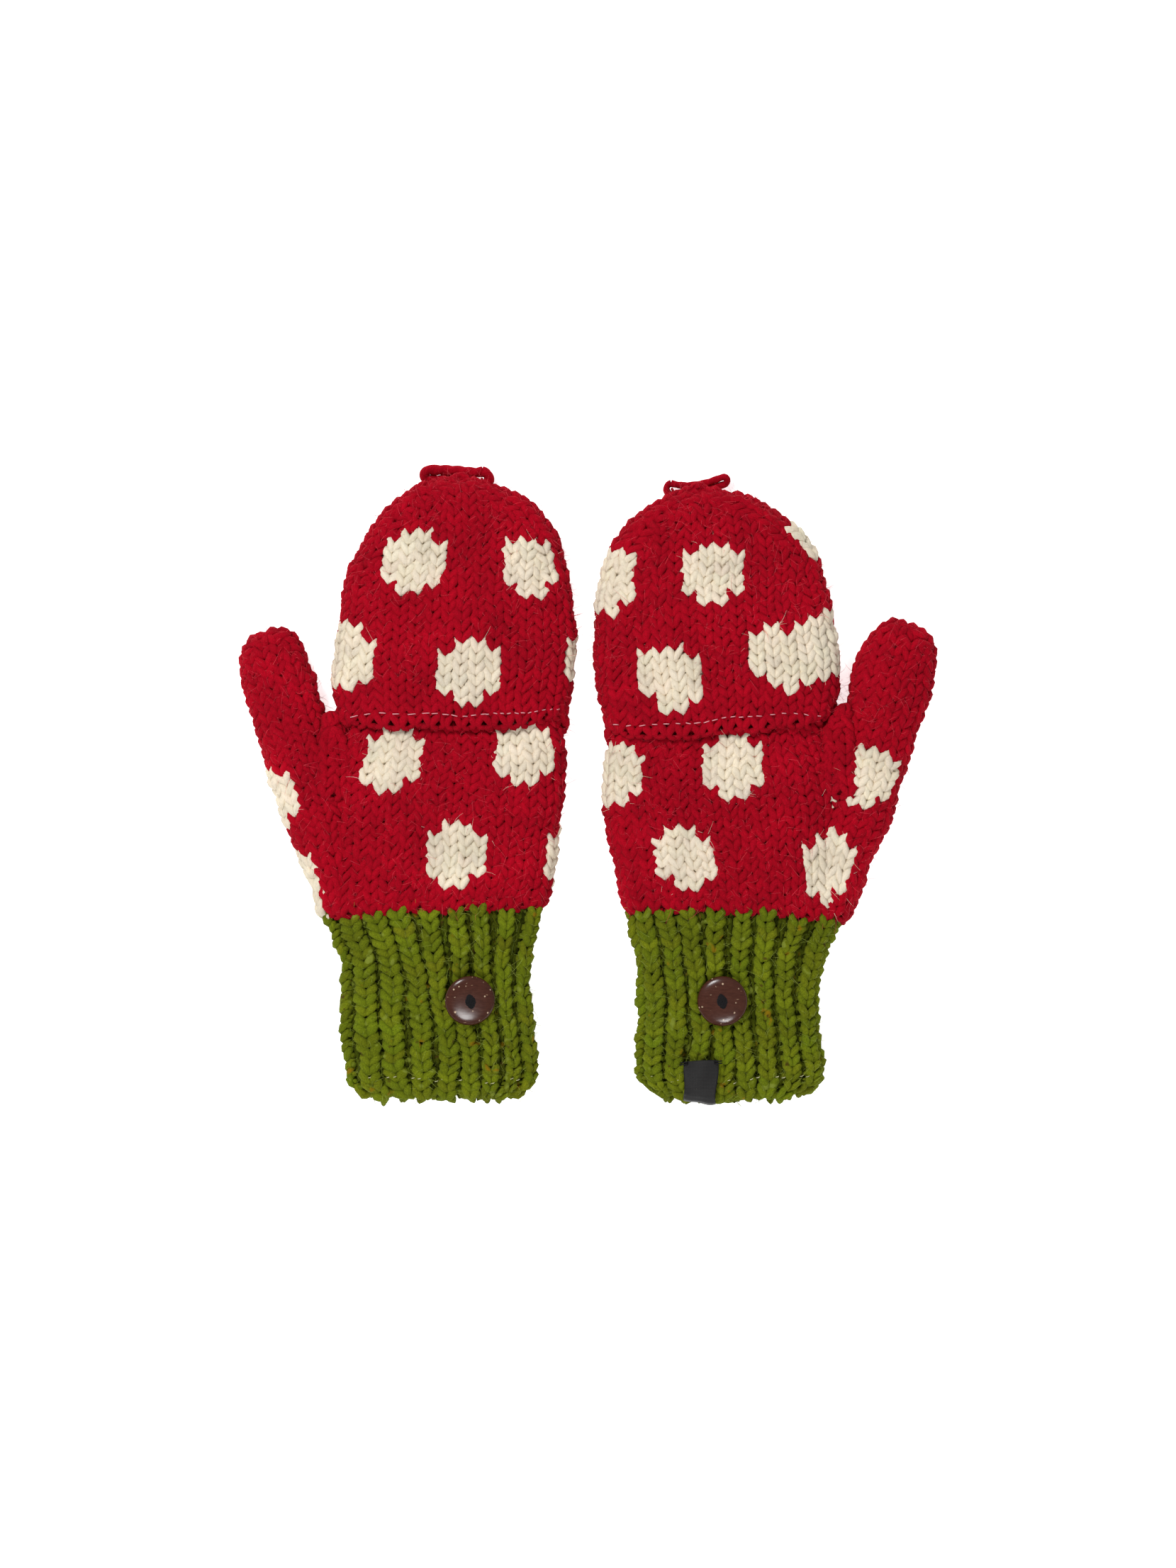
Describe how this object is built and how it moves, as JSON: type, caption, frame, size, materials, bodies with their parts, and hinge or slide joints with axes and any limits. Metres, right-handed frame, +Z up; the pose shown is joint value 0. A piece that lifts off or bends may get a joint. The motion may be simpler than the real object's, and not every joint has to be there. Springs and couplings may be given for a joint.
{
  "type": "convertible flip-top mittens",
  "caption": "Pair of chunky knitted mittens whose tops fold back at the knuckles over half-finger sleeves, with ribbed cuffs, cuff buttons and a button loop at each tip.",
  "frame": {"origin": "on the table, at the middle of the pair's footprint", "axes": "+X from the right-hand mitten towards the left-hand one, +Y from the cuffs towards the fingertips, +Z up from the palms to the backs of the hands"},
  "size_m": [0.2746, 0.2534, 0.0285],
  "materials": {
    "red_wool": "matte, slightly fuzzy chunky knit",
    "olive_wool": "matte heathered rib knit",
    "cream_wool": "matte, slightly fuzzy chunky knit",
    "lining_knit": "matte fine knit",
    "lining_thread": "matte thread",
    "seam_thread": "matte thread",
    "button_thread": "matte thread",
    "satin_label": "satin woven label",
    "coconut_shell": "polished coconut shell"
  },
  "bodies": {
    "right_glove": {"right_hand": "red_wool", "right_cuff": "olive_wool", "right_cuff_lining": "lining_knit", "right_lining_stitches": "lining_thread", "right_index_sleeve": "red_wool", "right_middle_sleeve": "red_wool", "right_ring_sleeve": "red_wool", "right_little_sleeve": "red_wool", "right_hem": "red_wool", "right_seam_stitches": "seam_thread", "right_button": "coconut_shell", "right_button_thread": "button_thread", "right_hand_spots": "cream_wool"},
    "right_thumb_stall": {"right_thumb": "red_wool", "right_thumb_spot": "cream_wool"},
    "right_flap_top": {"right_flap": "red_wool", "right_flap_spots": "cream_wool", "right_loop_staple": "red_wool"},
    "right_button_loop": {"right_loop": "red_wool"},
    "left_glove": {"left_hand": "red_wool", "left_cuff": "olive_wool", "left_cuff_lining": "lining_knit", "left_lining_stitches": "lining_thread", "left_index_sleeve": "red_wool", "left_middle_sleeve": "red_wool", "left_ring_sleeve": "red_wool", "left_little_sleeve": "red_wool", "left_hem": "red_wool", "left_seam_stitches": "seam_thread", "left_button": "coconut_shell", "left_button_thread": "button_thread", "left_hand_spots": "cream_wool", "left_label": "satin_label", "left_label_stitches": "button_thread"},
    "left_thumb_stall": {"left_thumb": "red_wool", "left_thumb_spot": "cream_wool"},
    "left_flap_top": {"left_flap": "red_wool", "left_flap_spots": "cream_wool", "left_loop_staple": "red_wool"},
    "left_button_loop": {"left_loop": "red_wool"}
  },
  "joints": [
    {"name": "left_mitten_aside", "type": "slide", "parent": "right_glove", "child": "left_glove", "axis": [1, 0, 0], "range_m": [0, 0.15]},
    {"name": "right_flap_fold", "type": "hinge", "parent": "right_glove", "child": "right_flap_top", "pos_m": [-0.053, 0.0292, 0.028], "axis": [0.9997, 0.0262, 0], "range_deg": [0, 180], "deforming": ["right_index_sleeve", "right_middle_sleeve", "right_ring_sleeve", "right_little_sleeve"]},
    {"name": "right_thumb_swing", "type": "hinge", "parent": "right_glove", "child": "right_thumb_stall", "pos_m": [-0.108, -0.012, 0], "axis": [0, 0, 1], "range_deg": [0, 25]},
    {"name": "right_loop_swing", "type": "hinge", "parent": "right_flap_top", "child": "right_button_loop", "pos_m": [-0.0422, 0.1214, 0.0032], "axis": [0, 0, -1], "range_deg": [0, 86]},
    {"name": "left_flap_fold", "type": "hinge", "parent": "left_glove", "child": "left_flap_top", "pos_m": [0.052, 0.027, 0.028], "axis": [0.9982, 0.0593, 0], "range_deg": [0, 180], "deforming": ["left_index_sleeve", "left_middle_sleeve", "left_ring_sleeve", "left_little_sleeve"]},
    {"name": "left_thumb_swing", "type": "hinge", "parent": "left_glove", "child": "left_thumb_stall", "pos_m": [0.105, -0.012, 0], "axis": [0, 0, -1], "range_deg": [0, 25]},
    {"name": "left_loop_swing", "type": "hinge", "parent": "left_flap_top", "child": "left_button_loop", "pos_m": [0.0334, 0.1174, 0.0032], "axis": [0, 0, 1], "range_deg": [0, 81]}
  ]
}
